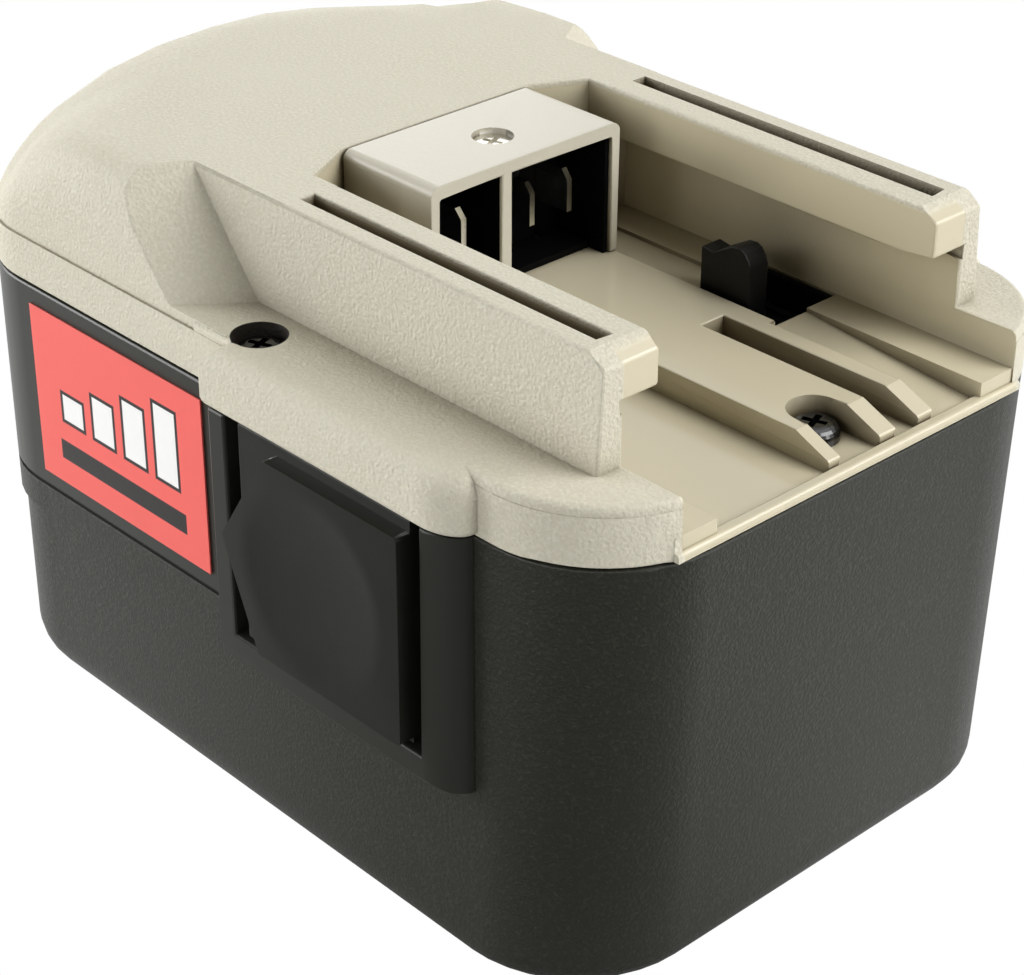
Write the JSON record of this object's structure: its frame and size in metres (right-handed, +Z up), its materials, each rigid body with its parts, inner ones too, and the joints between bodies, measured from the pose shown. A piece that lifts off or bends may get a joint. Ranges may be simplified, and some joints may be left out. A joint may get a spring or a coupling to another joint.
{
  "type": "power tool battery pack",
  "caption": "Slide-on battery pack for a cordless tool: dark case, beige railed cover with terminal hood, sprung side buttons that draw locking hooks down.",
  "frame": {"origin": "middle of the base, at the bottom of the case", "axes": "+Z up out of the cover, +X towards the end that enters the tool, so the pack slides on along +X"},
  "size_m": [0.119, 0.089, 0.0798],
  "materials": {
    "dark_plastic": "fine moulded texture",
    "beige_plastic": "fine moulded texture",
    "beige_smooth": "satin",
    "black_plastic": "satin",
    "bright_steel": "bright",
    "black_steel": "oiled black",
    "foam": "foam",
    "card": "pressed card",
    "red_insulation": "soft",
    "black_insulation": "soft",
    "yellow_insulation": "soft",
    "coral_label": "satin film",
    "cell_sleeve": "shrink sleeve"
  },
  "bodies": {
    "pack": {"lower_case": "dark_plastic", "top_cover": "beige_plastic", "terminal_hood": "beige_smooth", "hood_screw": "bright_steel", "cover_screws": "black_steel", "terminal_carrier": "black_plastic", "terminal_positive": "bright_steel", "terminal_negative": "bright_steel", "terminal_sensor": "bright_steel", "cell_straps_top": "bright_steel", "cell_straps_bottom": "bright_steel", "bottom_pad": "foam", "top_insulator": "card", "temperature_sensor": "black_plastic", "positive_lead": "red_insulation", "negative_lead": "black_insulation", "sensor_lead": "yellow_insulation", "button_spring_left": "bright_steel", "button_spring_right": "bright_steel", "bolt_spring_left": "bright_steel", "bolt_spring_right": "bright_steel", "latch_guide_left": "black_plastic", "latch_guide_right": "black_plastic", "side_pad_left": "foam", "side_pad_right": "foam", "label_left": "coral_label", "label_right": "coral_label", "cell_1": "cell_sleeve", "cell_2": "cell_sleeve", "cell_3": "cell_sleeve", "cell_4": "cell_sleeve", "cell_5": "cell_sleeve", "cell_6": "cell_sleeve", "cell_7": "cell_sleeve", "cell_8": "cell_sleeve", "cell_9": "cell_sleeve", "cell_10": "cell_sleeve", "cell_11": "cell_sleeve", "cell_12": "cell_sleeve"},
    "button_left": {"release_button_left": "black_plastic"},
    "button_right": {"release_button_right": "black_plastic"},
    "bolt_left": {"latch_bolt_left": "black_plastic"},
    "bolt_right": {"latch_bolt_right": "black_plastic"}
  },
  "joints": [
    {"name": "button_left_press", "type": "slide", "parent": "pack", "child": "button_left", "axis": [0, 1, 0], "range_m": [0, 0.0035], "stiffness_N_per_m": 1200, "springref_m": -0.002, "deforming": ["button_spring_left"]},
    {"name": "button_right_press", "type": "slide", "parent": "pack", "child": "button_right", "axis": [0, -1, 0], "range_m": [0, 0.0035], "stiffness_N_per_m": 1200, "springref_m": -0.002, "deforming": ["button_spring_right"]},
    {"name": "bolt_left_drop", "type": "slide", "parent": "pack", "child": "bolt_left", "axis": [0, 0, -1], "range_m": [0, 0.0035], "deforming": ["bolt_spring_left"]},
    {"name": "bolt_right_drop", "type": "slide", "parent": "pack", "child": "bolt_right", "axis": [0, 0, -1], "range_m": [0, 0.0035], "deforming": ["bolt_spring_right"]}
  ],
  "couplings": [
    {"joint": "bolt_left_drop", "follows": "button_left_press", "ratio": 1},
    {"joint": "bolt_right_drop", "follows": "button_right_press", "ratio": 1}
  ]
}
